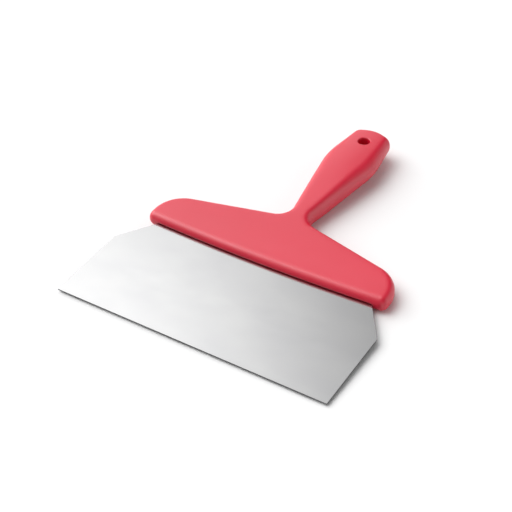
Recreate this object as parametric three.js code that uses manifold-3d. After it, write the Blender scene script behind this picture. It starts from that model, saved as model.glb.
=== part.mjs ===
// Wide bench scraper: a flat stainless blade moulded into a one-piece plastic handle.
// Millimetres, +Z up. X runs along the working edge and +Y points from that edge to the handle.
// The scraper lies as it rests on a table: on the underside of the handle's head and the belly of
// its grip. The origin is on the table, under the middle of the whole tool.
import * as THREE from 'three';
import { mergeVertices } from 'three/addons/utils/BufferGeometryUtils.js';
import { TessellateModifier } from 'three/addons/modifiers/TessellateModifier.js';
import Module from 'manifold-3d';

const wasm = await Module();
wasm.setup();

// Driving dimensions. The parts are drawn in the blade's own frame: y = 0 is the working edge and
// z = 0 is the blade's upper face.
const BLADE_WIDTH = 240;
const BLADE_THICKNESS = 1.2;
const SIDE_LENGTH = 73; // straight side, square to the working edge
const CHAMFER_RUN = 24; // the shoulder goes this far in ...
const CHAMFER_RISE = 35; // ... over this length
const ROOT_HALF_WIDTH = 98; // the part of the blade that is hidden in the head
const ROOT_END = 126;
const ANCHOR_RADIUS = 4;
const ANCHOR_Y = 116;
const ANCHOR_SPACING = 36;
const ANCHOR_COUNT = 5;
const FIT_GAP = 0.3; // between the blade and the plastic round it

const NOSE_Y = 100.6; // front of the head at its middle
const NOSE_BOW_RADIUS = 2000; // the head's front edge bows gently towards the working edge
const EDGE_INSET = 5.8; // how far the rounded edges reach in, seen from above
const EDGE_STRAIGHT = 0.07; // share of the thickness that stays straight between the roundings
const NOSE_THICKNESS = 13.1;
const HEAD_THICKNESS = 13.8;
const BELLY_THICKNESS = 20.2;
const TIP_THICKNESS = 16.8;
const NOSE_MID = 0.15; // height of the middle of the section over the blade's upper face
const HEAD_MID = 0.5;
const GRIP_MID = 1.7;
const GRIP_ROUNDING = 0.16; // how much narrower the grip's flat faces are than its middle
const HEAD_FULL_Y = 130; // the head's upper face rises from its front edge to here
const GRIP_START_Y = 165;
const BELLY_Y = 245;
const KEEL = 0.25; // how much further the grip's underside swells along its middle
const KEEL_HALF_WIDTH = 15;

const LIP_DEPTH = 2; // shallow relief between the head's lips and the blade
const LIP_HEIGHT = 1.6;
const LIP_HALF_WIDTH = 102;

const HOLE_Y = 272; // hanging hole through the end of the grip
const HOLE_RADIUS = 5.2;
const HOLE_RIM = 1;

// One side of the handle's outline, from the middle of its front edge to its tip: the corners of
// the polygon that the outline rounds off, each as x, y and radius.
const bowSlope = 0.05;
const noseCorner = 110;
const noseApex = NOSE_Y - NOSE_BOW_RADIUS * (Math.hypot(1, bowSlope) - 1);
const HANDLE_CORNERS = [
  { x: 0, y: noseApex, r: NOSE_BOW_RADIUS },
  { x: noseCorner, y: noseApex + bowSlope * noseCorner, r: 6 },
  { x: 111.3, y: 134.2, r: 28 },
  { x: 8, y: 158.4, r: 12.6 },
  { x: 23.7, y: 248, r: 67 },
  { x: 17.2, y: 289.8, r: 8 },
  { x: 0, y: 295.6, r: 28 },
];

// Adds the arc that rounds off the corner between the points before and after it. Each arc is
// joined to the one before it by a straight line.
function roundCorner(shape, before, corner, after) {
  const here = new THREE.Vector2(corner.x, corner.y);
  const back = new THREE.Vector2(before.x, before.y).sub(here).normalize();
  const ahead = new THREE.Vector2(after.x, after.y).sub(here).normalize();
  const halfAngle = Math.acos(back.dot(ahead)) / 2;
  const tangent = corner.r / Math.tan(halfAngle);
  const start = here.clone().addScaledVector(back, tangent);
  const end = here.clone().addScaledVector(ahead, tangent);
  const toCentre = back.clone().add(ahead).normalize();
  const centre = here.clone().addScaledVector(toCentre, corner.r / Math.sin(halfAngle));
  const from = Math.atan2(start.y - centre.y, start.x - centre.x);
  const to = Math.atan2(end.y - centre.y, end.x - centre.x);
  const clockwise = back.cross(ahead) > 0;
  shape.absarc(centre.x, centre.y, corner.r, from, to, clockwise);
}

function handleOutline() {
  const mirrored = HANDLE_CORNERS.slice(1, -1).reverse().map(({ x, y, r }) => ({ x: -x, y, r }));
  const corners = [...HANDLE_CORNERS, ...mirrored];
  const shape = new THREE.Shape();
  corners.forEach((corner, i) => {
    const after = corners[(i + 1) % corners.length];
    roundCorner(shape, corners.at(i - 1), corner, after);
  });
  return shape;
}

// Value that runs from the one at the head's front edge to the one at its full height.
function acrossHead(y, atNose, atFull) {
  return THREE.MathUtils.lerp(atNose, atFull, THREE.MathUtils.smoothstep(y, NOSE_Y, HEAD_FULL_Y));
}

// Thickness of the handle's section at y: thin at the head, full at the belly, less at the tip.
function sectionThickness(y) {
  const swell = THREE.MathUtils.smoothstep(y, 110, BELLY_Y);
  const taper = THREE.MathUtils.smoothstep(y, BELLY_Y, 300);
  const head = acrossHead(y, NOSE_THICKNESS, HEAD_THICKNESS);
  const full = THREE.MathUtils.lerp(head, BELLY_THICKNESS, swell);
  return THREE.MathUtils.lerp(full, TIP_THICKNESS, taper);
}

function sectionMiddle(y) {
  const head = acrossHead(y, NOSE_MID, HEAD_MID);
  return THREE.MathUtils.lerp(head, GRIP_MID, THREE.MathUtils.smoothstep(y, 150, 240));
}

// The grip's section is rounder than the head's: its faces draw in towards the top and bottom.
function sectionRounding(y) {
  const grow = THREE.MathUtils.smoothstep(y, GRIP_START_Y, 235);
  const fade = 1 - THREE.MathUtils.smoothstep(y, BELLY_Y, 295);
  return GRIP_ROUNDING * grow * fade;
}

// The grip's underside swells to a shallow keel at the belly, where it lies on the table.
function sectionKeel(x, y) {
  const grow = THREE.MathUtils.smoothstep(y, GRIP_START_Y, 235);
  const fade = 1 - THREE.MathUtils.smoothstep(y, BELLY_Y, HOLE_Y - HOLE_RADIUS - HOLE_RIM);
  const across = Math.max(0, 1 - (x / KEEL_HALF_WIDTH) ** 2);
  return KEEL * grow * fade * across ** 2;
}

// Height of the handle's upper (+1) or lower (-1) face at y.
function faceHeight(y, side) {
  return sectionMiddle(y) + (side * sectionThickness(y)) / 2;
}

function positionsOnly(geometry) {
  const bare = geometry.index ? geometry.toNonIndexed() : geometry.clone();
  bare.deleteAttribute('normal');
  bare.deleteAttribute('uv');
  return mergeVertices(bare, 1e-4);
}

function toSolid(geometry) {
  const merged = positionsOnly(geometry);
  return new wasm.Manifold(
    new wasm.Mesh({
      numProp: 3,
      vertProperties: new Float32Array(merged.attributes.position.array),
      triVerts: new Uint32Array(merged.index.array),
    }),
  );
}

function toGeometry(solid) {
  const { vertProperties, triVerts } = solid.getMesh();
  const geometry = new THREE.BufferGeometry();
  geometry.setAttribute('position', new THREE.BufferAttribute(vertProperties, 3));
  geometry.setIndex(new THREE.BufferAttribute(triVerts, 1));
  const faceted = geometry.toNonIndexed();
  faceted.computeVertexNormals();
  return faceted;
}

// The handle before its cut-outs: the outline extruded with rounded edges, its faces divided
// finely enough to follow the swelling grip, and its section then shaped along y.
function handleBody() {
  const half = HEAD_THICKNESS / 2;
  const straight = EDGE_STRAIGHT * half;
  const extruded = new THREE.ExtrudeGeometry(handleOutline(), {
    depth: 2 * straight,
    bevelEnabled: true,
    bevelThickness: half - straight,
    bevelSize: EDGE_INSET,
    bevelOffset: -EDGE_INSET,
    bevelSegments: 4,
    curveSegments: 5,
  });
  extruded.translate(0, 0, -straight);
  const body = new TessellateModifier(20, 12).modify(positionsOnly(extruded));
  const position = body.attributes.position;
  for (let i = 0; i < position.count; i += 1) {
    const x = position.getX(i);
    const y = position.getY(i);
    const level = position.getZ(i) / half; // -1 at the lower face, +1 at the upper one
    const narrowing = 1 - sectionRounding(y) * level ** 4;
    const swell = level < 0 ? 1 + sectionKeel(x, y) : 1;
    const height = (level * swell * sectionThickness(y)) / 2;
    position.setXYZ(i, x * narrowing, y, sectionMiddle(y) + height);
  }
  return body;
}

function extrude(shape, bottom, top) {
  const geometry = new THREE.ExtrudeGeometry(shape, {
    depth: top - bottom,
    bevelEnabled: false,
    curveSegments: 12,
  });
  geometry.translate(0, 0, bottom);
  return geometry;
}

function addAnchorHoles(shape, radius) {
  for (let i = 0; i < ANCHOR_COUNT; i += 1) {
    const x = (i - (ANCHOR_COUNT - 1) / 2) * ANCHOR_SPACING;
    const hole = new THREE.Path();
    hole.absarc(x, ANCHOR_Y, radius, 0, 2 * Math.PI, true);
    shape.holes.push(hole);
  }
}

// Sheet steel with a square working edge, straight sides and slanted shoulders that run into the
// head. Its hidden root has holes that the handle's plastic fills.
function bladeGeometry() {
  const half = BLADE_WIDTH / 2;
  const slope = CHAMFER_RUN / CHAMFER_RISE;
  const shoulderEnd = SIDE_LENGTH + (half - ROOT_HALF_WIDTH) / slope;
  const shape = new THREE.Shape([
    new THREE.Vector2(-half, 0),
    new THREE.Vector2(half, 0),
    new THREE.Vector2(half, SIDE_LENGTH),
    new THREE.Vector2(ROOT_HALF_WIDTH, shoulderEnd),
    new THREE.Vector2(ROOT_HALF_WIDTH, ROOT_END),
    new THREE.Vector2(-ROOT_HALF_WIDTH, ROOT_END),
    new THREE.Vector2(-ROOT_HALF_WIDTH, shoulderEnd),
    new THREE.Vector2(-half, SIDE_LENGTH),
  ]);
  addAnchorHoles(shape, ANCHOR_RADIUS);
  return extrude(shape, -BLADE_THICKNESS, 0);
}

// The slot that holds the blade's root, with the plastic pegs left standing in the anchor holes.
function slotCutter() {
  const half = BLADE_WIDTH / 2 + FIT_GAP;
  const root = ROOT_HALF_WIDTH + FIT_GAP;
  const slope = CHAMFER_RUN / CHAMFER_RISE;
  const shoulderEnd = SIDE_LENGTH + (half - root) / slope + FIT_GAP;
  const shape = new THREE.Shape([
    new THREE.Vector2(-half, SIDE_LENGTH),
    new THREE.Vector2(half, SIDE_LENGTH),
    new THREE.Vector2(root, shoulderEnd),
    new THREE.Vector2(root, ROOT_END + FIT_GAP),
    new THREE.Vector2(-root, ROOT_END + FIT_GAP),
    new THREE.Vector2(-root, shoulderEnd),
  ]);
  addAnchorHoles(shape, ANCHOR_RADIUS - FIT_GAP);
  return extrude(shape, -BLADE_THICKNESS - FIT_GAP, FIT_GAP);
}

// The relief that keeps the head's two lips just clear of the blade along the front edge.
function lipCutter() {
  const centreY = NOSE_Y + LIP_DEPTH + NOSE_BOW_RADIUS;
  const reach = Math.asin(LIP_HALF_WIDTH / NOSE_BOW_RADIUS);
  const down = -Math.PI / 2;
  const shape = new THREE.Shape();
  shape.moveTo(-LIP_HALF_WIDTH, SIDE_LENGTH);
  shape.lineTo(LIP_HALF_WIDTH, SIDE_LENGTH);
  shape.absarc(0, centreY, NOSE_BOW_RADIUS, down + reach, down - reach, true);
  shape.closePath();
  return extrude(shape, -BLADE_THICKNESS - LIP_HEIGHT, LIP_HEIGHT);
}

// The hanging hole, with a rounded rim at each face of the grip.
function holeCutter() {
  const top = faceHeight(HOLE_Y, 1);
  const bottom = faceHeight(HOLE_Y, -1);
  const mouth = HOLE_RADIUS + HOLE_RIM;
  const clear = 2;
  const profile = new THREE.Path();
  profile.moveTo(0, bottom - clear);
  profile.lineTo(mouth, bottom - clear);
  profile.lineTo(mouth, bottom);
  profile.absarc(mouth, bottom + HOLE_RIM, HOLE_RIM, -Math.PI / 2, -Math.PI, true);
  profile.absarc(mouth, top - HOLE_RIM, HOLE_RIM, Math.PI, Math.PI / 2, true);
  profile.lineTo(mouth, top + clear);
  profile.lineTo(0, top + clear);
  const lathe = new THREE.LatheGeometry(profile.getPoints(3), 32);
  lathe.rotateX(Math.PI / 2);
  lathe.translate(0, HOLE_Y, 0);
  return lathe;
}

function handleGeometry() {
  const cutters = [slotCutter(), lipCutter(), holeCutter()].map(toSolid);
  const solid = cutters.reduce((rest, cutter) => rest.subtract(cutter), toSolid(handleBody()));
  return toGeometry(solid);
}

// Height of the lowest point of the handle between two distances from the working edge, when the
// tool leans by an angle.
function lowestPoint(handle, tilt, from, to) {
  const position = handle.attributes.position;
  let lowest = Infinity;
  for (let i = 0; i < position.count; i += 1) {
    const y = position.getY(i);
    if (y >= from && y < to) {
      const height = y * Math.sin(tilt) + position.getZ(i) * Math.cos(tilt);
      lowest = Math.min(lowest, height);
    }
  }
  return lowest;
}

// How far the tool leans when the head and the belly of the grip both touch the table.
function restingTilt(handle) {
  let level = 0;
  let steep = 0.1;
  while (steep - level > 1e-7) {
    const tilt = (level + steep) / 2;
    const head = lowestPoint(handle, tilt, 0, GRIP_START_Y);
    const grip = lowestPoint(handle, tilt, GRIP_START_Y, Infinity);
    if (grip > head) {
      steep = tilt;
    } else {
      level = tilt;
    }
  }
  return (level + steep) / 2;
}

function benchScraper() {
  const steel = new THREE.MeshStandardMaterial({ color: '#c9cacb', roughness: 0.35, metalness: 1 });
  const plastic = new THREE.MeshStandardMaterial({ color: '#d9505c', roughness: 0.6, metalness: 0 });
  const blade = new THREE.Mesh(bladeGeometry(), steel);
  const handle = new THREE.Mesh(handleGeometry(), plastic);
  blade.name = 'blade';
  handle.name = 'handle';

  const tool = new THREE.Group();
  tool.add(blade, handle);
  tool.rotation.x = restingTilt(handle.geometry);

  const part = new THREE.Group();
  part.add(tool);
  const box = new THREE.Box3().setFromObject(part, true);
  tool.position.y = -(box.min.y + box.max.y) / 2;
  tool.position.z = -box.min.z;
  return part;
}

export default benchScraper();
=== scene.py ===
"""Looks of the wide bench scraper: satin steel blade and matte coral plastic handle.

Both visible pieces are drawn in the blade's own frame, in millimetres: x along the working edge,
y from that edge to the handle, z = 0 on the blade's upper face. They are then laid on the CAD
blade, which leans up from the table, and turned into metres.
"""
import math

import bmesh
import bpy
import numpy as np
from mathutils import Matrix, Vector
from mathutils.geometry import delaunay_2d_cdt


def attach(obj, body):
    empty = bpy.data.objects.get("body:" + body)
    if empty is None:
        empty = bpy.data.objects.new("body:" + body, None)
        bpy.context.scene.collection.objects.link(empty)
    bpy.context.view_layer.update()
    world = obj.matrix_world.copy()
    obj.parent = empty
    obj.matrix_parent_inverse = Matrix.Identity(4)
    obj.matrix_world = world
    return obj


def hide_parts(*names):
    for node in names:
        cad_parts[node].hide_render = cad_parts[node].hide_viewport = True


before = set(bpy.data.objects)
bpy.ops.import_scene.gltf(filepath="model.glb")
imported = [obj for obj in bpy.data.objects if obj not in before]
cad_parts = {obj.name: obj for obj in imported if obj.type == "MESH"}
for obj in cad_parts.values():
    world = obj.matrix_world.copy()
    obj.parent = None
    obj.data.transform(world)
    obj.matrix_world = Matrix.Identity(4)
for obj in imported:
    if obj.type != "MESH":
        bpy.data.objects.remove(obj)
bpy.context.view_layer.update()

MM = 0.001

# The blade, in mm.
BLADE_WIDTH = 240
BLADE_THICKNESS = 1.2
SIDE_LENGTH = 73
CHAMFER_SLOPE = 24 / 35
ROOT_HALF_WIDTH = 98
ROOT_END = 126
ANCHOR_RADIUS = 4
ANCHOR_Y = 116
ANCHOR_XS = [-72, -36, 0, 36, 72]
ANCHOR_SEGMENTS = 40
EDGE_BREAK = 0.12  # the sheet's edges are very slightly rounded

# The handle, in mm. Corners of one side of its outline as x, y and rounding radius.
NOSE_Y = 100.6
NOSE_RADIUS = 2000
NOSE_SLOPE = 0.05
NOSE_APEX = NOSE_Y - NOSE_RADIUS * (math.hypot(1, NOSE_SLOPE) - 1)
NOSE_CORNER = 110
HANDLE_CORNERS = [
    (0, NOSE_APEX, NOSE_RADIUS),
    (NOSE_CORNER, NOSE_APEX + NOSE_SLOPE * NOSE_CORNER, 6),
    (111.3, 134.2, 28),
    (8, 158.4, 12.6),
    (23.7, 248, 67),
    (17.2, 289.8, 8),
    (0, 295.6, 28),
]
EDGE_INSET = 5.8  # how far the rounded edges reach in from the outline
EDGE_STRAIGHT = 0.07  # share of the half height that stays upright in the middle of the wall
NOSE_THICKNESS = 13.1
HEAD_THICKNESS = 13.8
BELLY_THICKNESS = 20.2
TIP_THICKNESS = 16.8
NOSE_MID = 0.15
HEAD_MID = 0.5
GRIP_MID = 1.7
GRIP_ROUNDING = 0.16  # how far the grip narrows towards its upper and lower faces
GRIP_CROWN = 0.14  # how far the grip's faces fall away towards its sides
GRIP_HALF_WIDTH = 21
KEEL = 0.238  # how much further the grip's underside swells along its middle
KEEL_HALF_WIDTH = 15

# Places along y where the handle's section changes.
HEAD_FULL_Y = 130  # the head's upper face rises from its front edge to here
SWELL_START_Y = 110
BELLY_Y = 245
TAPER_END_Y = 300
MIDDLE_RANGE = (150, 240)  # the section's middle rises from the head's to the grip's
GRIP_RANGE = (165, 235)  # the grip's rounding and keel grow between these
CROWN_RANGE = (175, 240)
KEEL_END_Y = 266
ROUNDING_END_Y = 295

LIP_DEPTH = 2.0
LIP_HEIGHT = 1.6
LIP_RANGE = (95, 102)  # the lips fade out between these distances from the middle
FRONT_BAND = 6  # outline points this close behind the nose belong to the front edge
HOLE_Y = 272
HOLE_RADIUS = 5.2
HOLE_RIM = 1.0
MOUTH_RADIUS = HOLE_RADIUS + HOLE_RIM
BORE_SEGMENTS = 64
SLOT_GAP = 0.04

# How finely the meshes are divided. Lengths in mm, turns in degrees.
OUTLINE_STEP = 1.2
EDGE_TURN = 7.5
LIP_TURN = 11.25
RIM_TURN = 15
LEVEL_STEP = 0.012  # rings of the handle's wall that are closer than this are merged
CAP_STEP = 2.6
ROW_SPACING = 0.866 * CAP_STEP
EDGE_CLEARANCE = 0.45 * CAP_STEP
MOUTH_CLEARANCE = 0.7 * CAP_STEP
COLLARS = (0.3, 1.0)  # rings of points this far outside the hanging hole's mouth
WELD = 1e-6
SHARP_ANGLE = math.radians(40)

# Glows round the table, as azimuth and elevation in degrees, tightness and strength: broad ones
# that light the whole stage and narrow ones that the blade and the rounded edges reflect.
BROAD = 12
NARROW = 60
GLOWS = [
    (-108, 10, BROAD, 1.9),
    (-72, 10, BROAD, 0.2),
    (30, 15, BROAD, 0.9),
    (72, 10, BROAD, 0.3),
    (108, 10, BROAD, 1.6),
    (144, 10, BROAD, 0.95),
    (-90, 38, BROAD, 3.7),
    (-45, 38, BROAD, 1.3),
    (135, 38, BROAD, 0.2),
    (-108, 66, BROAD, 2.7),
    (-136, 42, NARROW, 1.15),
    (-150, 22, NARROW, 2.5),
    (-60, 55, NARROW, 2.3),
]


def smoothstep(value, low, high):
    """0 below low, 1 above high and a smooth rise between them."""
    t = np.clip((np.asarray(value, float) - low) / (high - low), 0, 1)
    return t * t * (3 - 2 * t)


def mix(a, b, share):
    """a where share is 0, b where it is 1."""
    return a + (b - a) * share


# ---------------------------------------------------------------- frame of the blade


def blade_frame():
    """The matrix from the blade's own frame, in mm, to the part's frame, in metres."""
    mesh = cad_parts["blade"].data
    top = max((f for f in mesh.polygons if f.normal.z > 0.9), key=lambda f: f.area)
    tilt = math.atan2(-top.normal.y, top.normal.z)
    edge = min((v.co for v in mesh.vertices), key=lambda co: (round(co.y, 6), -co.z))
    origin = Matrix.Translation((0, edge.y, edge.z))
    return origin @ Matrix.Rotation(tilt, 4, "X") @ Matrix.Diagonal((MM, MM, MM, 1))


# ---------------------------------------------------------------- handle


def corner_arcs():
    """The arcs that round off the outline's corners: start, end, centre, radius, angle and turn."""
    mirrored = [(-x, y, r) for x, y, r in reversed(HANDLE_CORNERS[1:-1])]
    corners = HANDLE_CORNERS + mirrored
    arcs = []
    for i, (x, y, radius) in enumerate(corners):
        here = np.array((x, y))
        back = np.array(corners[i - 1][:2]) - here
        ahead = np.array(corners[(i + 1) % len(corners)][:2]) - here
        back, ahead = back / np.linalg.norm(back), ahead / np.linalg.norm(ahead)
        half_angle = math.acos(back @ ahead) / 2
        tangent = radius / math.tan(half_angle)
        to_centre = (back + ahead) / np.linalg.norm(back + ahead)
        centre = here + to_centre * radius / math.sin(half_angle)
        start, end = here + back * tangent, here + ahead * tangent
        first = math.atan2(*(start - centre)[::-1])
        turn = math.atan2(*(end - centre)[::-1]) - first
        turn = (turn + math.pi) % (2 * math.pi) - math.pi
        arcs.append((start, end, centre, radius, first, turn))
    return arcs


def rounded_outline():
    """Points and outward normals round the handle's outline, counter-clockwise from above."""
    arcs = corner_arcs()
    points, normals = [], []
    for i, (_, end, centre, radius, first, turn) in enumerate(arcs):
        outward = 1 if turn > 0 else -1
        steps = max(8, round(abs(turn) * radius / OUTLINE_STEP))
        for k in range(steps + 1):
            angle = first + turn * k / steps
            spoke = np.array((math.cos(angle), math.sin(angle)))
            points.append(centre + spoke * radius)
            normals.append(spoke * outward)
        following = arcs[(i + 1) % len(arcs)][0]
        along = following - end
        steps = max(1, round(np.linalg.norm(along) / OUTLINE_STEP))
        for k in range(1, steps):
            points.append(end + along * k / steps)
            normals.append(normals[-1])
    return np.array(points), np.array(normals)


def section_thickness(y):
    """Thin at the head, full at the belly and less at the tip."""
    head = mix(NOSE_THICKNESS, HEAD_THICKNESS, smoothstep(y, NOSE_Y, HEAD_FULL_Y))
    full = mix(head, BELLY_THICKNESS, smoothstep(y, SWELL_START_Y, BELLY_Y))
    return mix(full, TIP_THICKNESS, smoothstep(y, BELLY_Y, TAPER_END_Y))


def section_middle(y):
    """Height of the section's middle over the blade's upper face."""
    head = mix(NOSE_MID, HEAD_MID, smoothstep(y, NOSE_Y, HEAD_FULL_Y))
    return mix(head, GRIP_MID, smoothstep(y, *MIDDLE_RANGE))


def section_rounding(y):
    """How much the section narrows from its middle to its upper and lower faces."""
    return GRIP_ROUNDING * smoothstep(y, *GRIP_RANGE) * (1 - smoothstep(y, BELLY_Y, ROUNDING_END_Y))


def section_crown(x, y):
    """How much thinner the grip is at x than along its middle."""
    return GRIP_CROWN * smoothstep(y, *CROWN_RANGE) * (x / GRIP_HALF_WIDTH) ** 2


def section_keel(x, y):
    """How much the underside swells at the belly, where the grip lies on the table."""
    along = smoothstep(y, *GRIP_RANGE) * (1 - smoothstep(y, BELLY_Y, KEEL_END_Y))
    return KEEL * along * np.clip(1 - (x / KEEL_HALF_WIDTH) ** 2, 0, 1) ** 2


def shaped(x, y, level):
    """Points of the handle from their place on the flat outline and their level, -1 to +1."""
    narrowing = 1 - section_rounding(y) * level**4
    x = x * narrowing
    height = level * section_thickness(y) / 2 * (1 - section_crown(x, y))
    if level < 0:
        height = height * (1 + section_keel(x, y))
    return np.column_stack((x, y, section_middle(y) + height))


def section_levels():
    """Levels of the rings, from the upper face's edge down to the lower one's."""
    angles = np.radians(np.arange(90, 3, -EDGE_TURN))
    rounding = EDGE_STRAIGHT + (1 - EDGE_STRAIGHT) * np.sin(angles)
    lip = LIP_HEIGHT * np.sin(np.radians(np.arange(0, 91, LIP_TURN)))
    heights = np.concatenate((lip, [-BLADE_THICKNESS / 2], -BLADE_THICKNESS - lip))
    lips = (heights - NOSE_MID) / (NOSE_THICKNESS / 2)
    levels = np.unique(np.round(np.concatenate((rounding, -rounding, lips)), 5))[::-1]
    keep = [levels[0]]
    for level in levels[1:]:
        if keep[-1] - level > LEVEL_STEP or level == levels[-1]:
            keep.append(level)
    return np.array(keep)


def edge_inset(level):
    """How far the rounded edge reaches in from the outline at a level."""
    reach = np.clip((abs(level) - EDGE_STRAIGHT) / (1 - EDGE_STRAIGHT), 0, 1)
    return EDGE_INSET * (1 - math.sqrt(1 - reach**2))


def lip_inset(points, level):
    """How far the head's two lips turn back towards the blade along the front edge."""
    z = NOSE_MID + level * NOSE_THICKNESS / 2
    clear = max(z, -BLADE_THICKNESS - z, 0)
    share = 1 - math.sqrt(1 - max(0, 1 - clear / LIP_HEIGHT) ** 2)
    front = (points[:, 1] < NOSE_Y + FRONT_BAND) * (1 - smoothstep(abs(points[:, 0]), *LIP_RANGE))
    return LIP_DEPTH * share * front


def cap_faces(edge, hole, inside):
    """Triangles that fill an end face between its edge ring, the hole's ring and inner points."""
    points = np.vstack((edge, hole, inside))
    n, m = len(edge), len(hole)
    rings = [(i, (i + 1) % n) for i in range(n)]
    rings += [(n + i, n + (i + 1) % m) for i in range(m)]
    coords = [Vector(p) for p in points]
    verts, _, faces, _, _, _ = delaunay_2d_cdt(coords, rings, [], 1, WELD)
    if len(verts) != len(points):
        raise ValueError("the end face's rings cross")
    in_hole = range(n, n + m)
    return points, [tuple(face) for face in faces if not all(i in in_hole for i in face)]


def ring_points(x, y, radius, segments):
    """Points of a circle round x, y."""
    turn = np.linspace(0, 2 * math.pi, segments, endpoint=False)
    return np.column_stack((np.cos(turn), np.sin(turn))) * radius + (x, y)


def inner_points(edge):
    """A staggered grid of points inside an end face, with two collars round the hole's rim."""
    rows = []
    low, high = edge.min(axis=0), edge.max(axis=0)
    for j, y in enumerate(np.arange(low[1], high[1], ROW_SPACING)):
        shift = CAP_STEP / 2 * (j % 2)
        rows += [(x, y) for x in np.arange(low[0] + shift, high[0], CAP_STEP)]
    grid = np.array(rows)
    crossings = np.zeros(len(grid), int)
    nearest = np.full(len(grid), 1e9)
    for a, b in zip(edge, np.roll(edge, -1, axis=0)):
        spans = (a[1] > grid[:, 1]) != (b[1] > grid[:, 1])
        rise = b[1] - a[1] if b[1] != a[1] else 1e-12
        at = a[0] + (grid[:, 1] - a[1]) / rise * (b[0] - a[0])
        crossings += spans & (grid[:, 0] < at)
        nearest = np.minimum(nearest, np.linalg.norm(grid - a, axis=1))
    from_mouth = np.linalg.norm(grid - (0, HOLE_Y), axis=1) - MOUTH_RADIUS
    inside = (crossings % 2 == 1) & (nearest > EDGE_CLEARANCE) & (from_mouth > MOUTH_CLEARANCE)
    collars = [ring_points(0, HOLE_Y, MOUTH_RADIUS + away, BORE_SEGMENTS) for away in COLLARS]
    return np.vstack([grid[inside], *collars])


def bore_rings(top, bottom):
    """Rings of points down the hanging hole, whose two mouths are rounded."""
    rounding = np.radians(np.arange(RIM_TURN, 91, RIM_TURN))
    wall = [(top, angle, -1) for angle in rounding]
    wall += [(bottom, angle, 1) for angle in rounding[::-1]]
    rings = []
    for mouth, angle, inwards in wall:
        radius = HOLE_RADIUS + HOLE_RIM * (1 - math.sin(angle))
        ring = np.column_stack((ring_points(0, HOLE_Y, radius, BORE_SEGMENTS), mouth[:, 2]))
        ring[:, 2] += inwards * HOLE_RIM * (1 - math.cos(angle))
        rings.append(ring)
    return rings


def handle_mesh():
    """The handle's skin, with its hanging hole and lips but before the slot for the blade."""
    points, normals = rounded_outline()
    levels = section_levels()
    verts, faces = [], []
    count = len(points)
    for level in levels:
        inset = edge_inset(level) + lip_inset(points, level)
        flat = points - normals * inset[:, None]
        verts.append(shaped(flat[:, 0], flat[:, 1], level))
    for ring in range(len(levels) - 1):
        upper, lower = ring * count, (ring + 1) * count
        for i in range(count):
            j = (i + 1) % count
            faces.append((upper + i, lower + i, lower + j, upper + j))
    verts = np.vstack(verts)

    edge = points - normals * EDGE_INSET
    mouth = ring_points(0, HOLE_Y, MOUTH_RADIUS, BORE_SEGMENTS)
    flat, cap = cap_faces(edge, mouth, inner_points(edge))
    extra = flat[count:]
    mouths = []
    for level in (1, -1):
        base = len(verts)
        first = 0 if level > 0 else (len(levels) - 1) * count
        verts = np.vstack((verts, shaped(extra[:, 0], extra[:, 1], level)))
        mouths.append(np.arange(base, base + BORE_SEGMENTS))
        for face in cap:
            ids = [first + i if i < count else base + i - count for i in face]
            faces.append(tuple(ids if level > 0 else reversed(ids)))

    rings = [mouths[0]]
    for ring in bore_rings(verts[mouths[0]], verts[mouths[1]]):
        rings.append(np.arange(len(verts), len(verts) + BORE_SEGMENTS))
        verts = np.vstack((verts, ring))
    rings.append(mouths[1])
    for upper, lower in zip(rings, rings[1:]):
        faces += zip(upper, np.roll(upper, -1), np.roll(lower, -1), lower)
    return verts, faces


def new_object(name, verts, faces):
    """A mesh object in the scene."""
    mesh = bpy.data.meshes.new(name)
    mesh.from_pydata([tuple(v) for v in verts], [], [tuple(map(int, f)) for f in faces])
    mesh.validate()
    made = bpy.data.objects.new(name, mesh)
    bpy.context.scene.collection.objects.link(made)
    return made


def sheet_outline(half, root, gap):
    """The blade's outline from the root's left end round the shoulders, or its slot's."""
    shoulder = SIDE_LENGTH + (half - root) / CHAMFER_SLOPE + gap
    side = [(half, SIDE_LENGTH), (root, shoulder), (root, ROOT_END + gap)]
    return side + [(-x, y) for x, y in reversed(side)]


def extruded_sheet(name, outline, anchor_radius, low, high):
    """A flat sheet with round anchor holes, as a closed mesh."""
    loops = [np.array(outline, float)]
    for x in ANCHOR_XS:
        loops.append(ring_points(x, ANCHOR_Y, anchor_radius, ANCHOR_SEGMENTS))
    points = np.vstack(loops)
    loop_of = np.concatenate([np.full(len(loop), i) for i, loop in enumerate(loops)])
    edges, start = [], 0
    for loop in loops:
        n = len(loop)
        edges += [(start + i, start + (i + 1) % n) for i in range(n)]
        start += n
    _, _, faces, _, _, _ = delaunay_2d_cdt([Vector(p) for p in points], edges, [], 1, WELD)
    kept = []
    for face in faces:
        on_loops = set(loop_of[list(face)])
        if len(on_loops) > 1 or 0 in on_loops:
            kept.append(tuple(face))
    n = len(points)
    verts = np.vstack([np.column_stack((points, np.full(n, z))) for z in (high, low)])
    solid = kept + [tuple(i + n for i in reversed(face)) for face in kept]
    solid += [(a, a + n, b + n, b) for a, b in edges]
    made = new_object(name, verts, solid)
    mesh = bmesh.new()
    mesh.from_mesh(made.data)
    bmesh.ops.dissolve_limit(mesh, angle_limit=math.radians(1), verts=mesh.verts, edges=mesh.edges)
    bmesh.ops.recalc_face_normals(mesh, faces=mesh.faces)
    mesh.to_mesh(made.data)
    mesh.free()
    return made


def apply_modifiers(piece):
    """Turns a piece's modifiers into plain mesh."""
    graph = bpy.context.evaluated_depsgraph_get()
    mesh = bpy.data.meshes.new_from_object(piece.evaluated_get(graph))
    piece.modifiers.clear()
    piece.data = mesh


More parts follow.
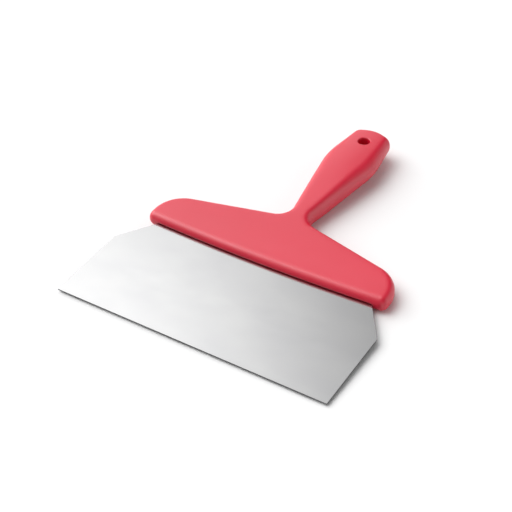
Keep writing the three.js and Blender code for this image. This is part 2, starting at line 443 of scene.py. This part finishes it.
def make_handle(placing):
    """The plastic moulding, with the slot and the pegs that hold the blade's root."""
    handle = new_object("handle_skin", *handle_mesh())
    cutter = extruded_sheet(
        "slot_cutter",
        sheet_outline(BLADE_WIDTH / 2, ROOT_HALF_WIDTH + SLOT_GAP, SLOT_GAP),
        ANCHOR_RADIUS - SLOT_GAP,
        -BLADE_THICKNESS - SLOT_GAP,
        SLOT_GAP,
    )
    cut = handle.modifiers.new("slot", "BOOLEAN")
    cut.operation = "DIFFERENCE"
    cut.solver = "EXACT"
    cut.object = cutter
    apply_modifiers(handle)
    bpy.data.objects.remove(cutter)
    handle.data.transform(placing)
    handle.data.polygons.foreach_set("use_smooth", [True] * len(handle.data.polygons))
    handle.data.set_sharp_from_angle(angle=SHARP_ANGLE)
    return handle


def make_blade(placing):
    """The steel sheet. Its two big faces are shaded flat and its rounded edges smooth."""
    half = BLADE_WIDTH / 2
    outline = sheet_outline(half, ROOT_HALF_WIDTH, 0) + [(-half, 0), (half, 0)]
    blade = extruded_sheet("blade_sheet", outline, ANCHOR_RADIUS, -BLADE_THICKNESS, 0)
    rounding = blade.modifiers.new("edge_break", "BEVEL")
    rounding.width = EDGE_BREAK
    rounding.segments = 3
    rounding.limit_method = "ANGLE"
    rounding.angle_limit = SHARP_ANGLE
    apply_modifiers(blade)
    blade.data.transform(placing)
    on_edges = [abs(face.normal.z) < 0.99 for face in blade.data.polygons]
    blade.data.polygons.foreach_set("use_smooth", on_edges)
    return blade


# ---------------------------------------------------------------- materials

PLASTIC_TINTS = (0.665, 0.007, 0.036, 1), (0.695, 0.010, 0.042, 1)
STEEL_TINTS = (0.425, 0.425, 0.43, 1), (0.455, 0.455, 0.455, 1)
PAINTED_EDGE_SHADE = (0.12, 0.12, 0.125, 1)  # painted shade: the sheet's upright edges are coloured near black where they reflect dark surroundings
TABLE_TINTS = (0.93, 0.93, 0.93, 1), (0.95, 0.95, 0.95, 1)


class Nodes:
    """Short helpers for one material's nodes."""

    def __init__(self, name):
        self.material = bpy.data.materials.new(name)
        self.material.use_nodes = True
        self.tree = self.material.node_tree
        self.shader = self.tree.nodes["Principled BSDF"]

    def add(self, kind, **values):
        node = self.tree.nodes.new(kind)
        for key, value in values.items():
            if key in node.inputs:
                node.inputs[key].default_value = value
            else:
                setattr(node, key, value)
        return node

    def link(self, source, target):
        self.tree.links.new(source, target)

    def noise(self, scale, detail, stretch=(1, 1, 1)):
        """A noise in the part's own coordinates. Scale is in features per metre."""
        place = self.add("ShaderNodeTexCoord")
        turned = self.add("ShaderNodeMapping")
        turned.inputs["Scale"].default_value = stretch
        self.link(place.outputs["Object"], turned.inputs["Vector"])
        noise = self.add("ShaderNodeTexNoise", Scale=scale, Detail=detail)
        self.link(turned.outputs["Vector"], noise.inputs["Vector"])
        return noise.outputs["Fac"]

    def spread(self, source, low, high, start=0.3, end=0.7):
        """A value from low to high as the source goes from start to end."""
        spread = self.add("ShaderNodeMapRange")
        for name, value in (("From Min", start), ("From Max", end), ("To Min", low), ("To Max", high)):
            spread.inputs[name].default_value = value
        self.link(source, spread.inputs["Value"])
        return spread.outputs["Result"]

    def tinted(self, source, tints):
        """A colour that wanders between two tints with the source."""
        colour = self.add("ShaderNodeMix", data_type="RGBA")
        colour.inputs["A"].default_value, colour.inputs["B"].default_value = tints
        self.link(self.spread(source, 0, 1), colour.inputs["Factor"])
        return colour.outputs["Result"]

    def edge_shade_mask(self):
        """1 on the sheet's upright edges, which get painted shade, and 0 on its two faces."""
        place = self.add("ShaderNodeNewGeometry")
        parts = self.add("ShaderNodeSeparateXYZ")
        self.link(place.outputs["Normal"], parts.inputs["Vector"])
        upright = self.add("ShaderNodeMath", operation="ABSOLUTE")
        self.link(parts.outputs["Z"], upright.inputs[0])
        return self.spread(upright.outputs["Value"], 1, 0, start=0.4, end=0.9)

    def blend(self, share, first, second):
        """The first colour where share is 0 and the second, a fixed one, where it is 1."""
        blend = self.add("ShaderNodeMix", data_type="RGBA")
        blend.inputs["B"].default_value = second
        self.link(first, blend.inputs["A"])
        self.link(share, blend.inputs["Factor"])
        return blend.outputs["Result"]

    def bump(self, height, distance, strength, before=None):
        bump = self.add("ShaderNodeBump", Distance=distance, Strength=strength)
        self.link(height, bump.inputs["Height"])
        if before is not None:
            self.link(before, bump.inputs["Normal"])
        return bump.outputs["Normal"]


def plastic_material():
    """Matte coral moulded plastic: a fine spark-eroded grain and faint rubbed patches."""
    m = Nodes("coral_plastic")
    m.link(m.tinted(m.noise(18, 3), PLASTIC_TINTS), m.shader.inputs["Base Color"])
    m.link(m.spread(m.noise(60, 4), 0.34, 0.40), m.shader.inputs["Roughness"])
    grain = m.bump(m.noise(2600, 3), 0.00004, 0.35)
    ripple = m.bump(m.noise(160, 2), 0.00008, 0.25, grain)
    m.link(ripple, m.shader.inputs["Normal"])
    m.shader.inputs["IOR"].default_value = 1.5
    m.shader.inputs["Specular IOR Level"].default_value = 0.75
    m.shader.inputs["Subsurface Weight"].default_value = 0.12
    m.shader.inputs["Subsurface Radius"].default_value = (0.004, 0.0008, 0.0008)
    m.shader.inputs["Subsurface Scale"].default_value = 1.0
    return m.material


def steel_material():
    """Satin stainless sheet: a fine grain from the handle to the working edge, faint scuffs and
    painted shade on the upright edges.
    """
    m = Nodes("satin_steel")
    grain = m.noise(7000, 2, stretch=(1, 0.01, 1))
    faces = m.tinted(m.noise(35, 4, stretch=(0.6, 1, 1)), STEEL_TINTS)
    # painted shade: the upright edges are blended to a near-black colour that stands in for the dark
    # reflection they show
    m.link(m.blend(m.edge_shade_mask(), faces, PAINTED_EDGE_SHADE), m.shader.inputs["Base Color"])
    m.link(m.spread(grain, 0.12, 0.145), m.shader.inputs["Roughness"])
    m.link(m.bump(grain, 0.000002, 0.3), m.shader.inputs["Normal"])
    m.shader.inputs["Metallic"].default_value = 1.0
    m.shader.inputs["Anisotropic"].default_value = 0.5
    tangent = m.add("ShaderNodeTangent", direction_type="RADIAL", axis="Y")
    m.link(tangent.outputs["Tangent"], m.shader.inputs["Tangent"])
    return m.material


def floor_material():
    """A plain pale table top."""
    m = Nodes("pale_table")
    m.link(m.tinted(m.noise(9, 2), TABLE_TINTS), m.shader.inputs["Base Color"])
    m.shader.inputs["Roughness"].default_value = 0.7
    return m.material


# ---------------------------------------------------------------- stage, light and camera


def make_floor():
    reach = 6.0
    floor = new_object(
        "table",
        [(-reach, -reach, 0), (reach, -reach, 0), (reach, reach, 0), (-reach, reach, 0)],
        [(0, 1, 2, 3)],
    )
    floor.data.materials.append(floor_material())


def ray(azimuth, elevation):
    """The direction to something at an azimuth (0 is the -Y side, 90 the +X side)."""
    a, e = math.radians(azimuth), math.radians(elevation)
    return Vector((math.sin(a) * math.cos(e), -math.cos(a) * math.cos(e), math.sin(e)))


def make_world():
    """Studio surroundings: soft glows all round the table, brightest on the left."""
    world = bpy.data.worlds.new("studio")
    bpy.context.scene.world = world
    world.use_nodes = True
    tree = world.node_tree
    tree.nodes.clear()
    place = tree.nodes.new("ShaderNodeTexCoord")
    glow = tree.nodes.new("ShaderNodeBackground")
    glow.inputs["Color"].default_value = (1, 1, 1, 1)
    out = tree.nodes.new("ShaderNodeOutputWorld")
    total = None
    for azimuth, elevation, tightness, strength in GLOWS:
        dot = tree.nodes.new("ShaderNodeVectorMath")
        dot.operation = "DOT_PRODUCT"
        dot.inputs[1].default_value = ray(azimuth, elevation)
        tree.links.new(place.outputs["Generated"], dot.inputs[0])
        last = dot.outputs["Value"]
        for operation, value in (("MAXIMUM", 0), ("POWER", tightness), ("MULTIPLY", strength)):
            step = tree.nodes.new("ShaderNodeMath")
            step.operation = operation
            step.inputs[1].default_value = value
            tree.links.new(last, step.inputs[0])
            last = step.outputs[0]
        if total:
            add = tree.nodes.new("ShaderNodeMath")
            tree.links.new(total, add.inputs[0])
            tree.links.new(last, add.inputs[1])
            last = add.outputs[0]
        total = last
    tree.links.new(total, glow.inputs["Strength"])
    tree.links.new(glow.outputs["Background"], out.inputs["Surface"])


def make_camera():
    """A long lens at the front right, looking down on the blade."""
    azimuth, elevation, roll, distance = 33.915, 38.865, -2.114, 0.9879
    aim = Vector((-0.0113, -0.0322, 0))
    camera = bpy.data.objects.new("camera", bpy.data.cameras.new("camera"))
    bpy.context.scene.collection.objects.link(camera)
    camera.data.lens = 87.15
    camera.data.sensor_width = 36
    back = ray(azimuth, elevation)
    camera.location = aim + back * distance
    level = (-back).to_track_quat("-Z", "Y").to_matrix().to_4x4()
    turn = level @ Matrix.Rotation(math.radians(roll), 4, "Z")
    camera.rotation_euler = turn.to_euler()
    bpy.context.scene.camera = camera


def main():
    placing = blade_frame()
    handle = make_handle(placing)
    handle.data.materials.append(plastic_material())
    blade = make_blade(placing)
    blade.data.materials.append(steel_material())
    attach(handle, "root")
    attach(blade, "root")
    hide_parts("handle")
    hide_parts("blade")
    make_floor()
    make_world()
    make_camera()
    bpy.context.scene.view_settings.view_transform = "Standard"


main()
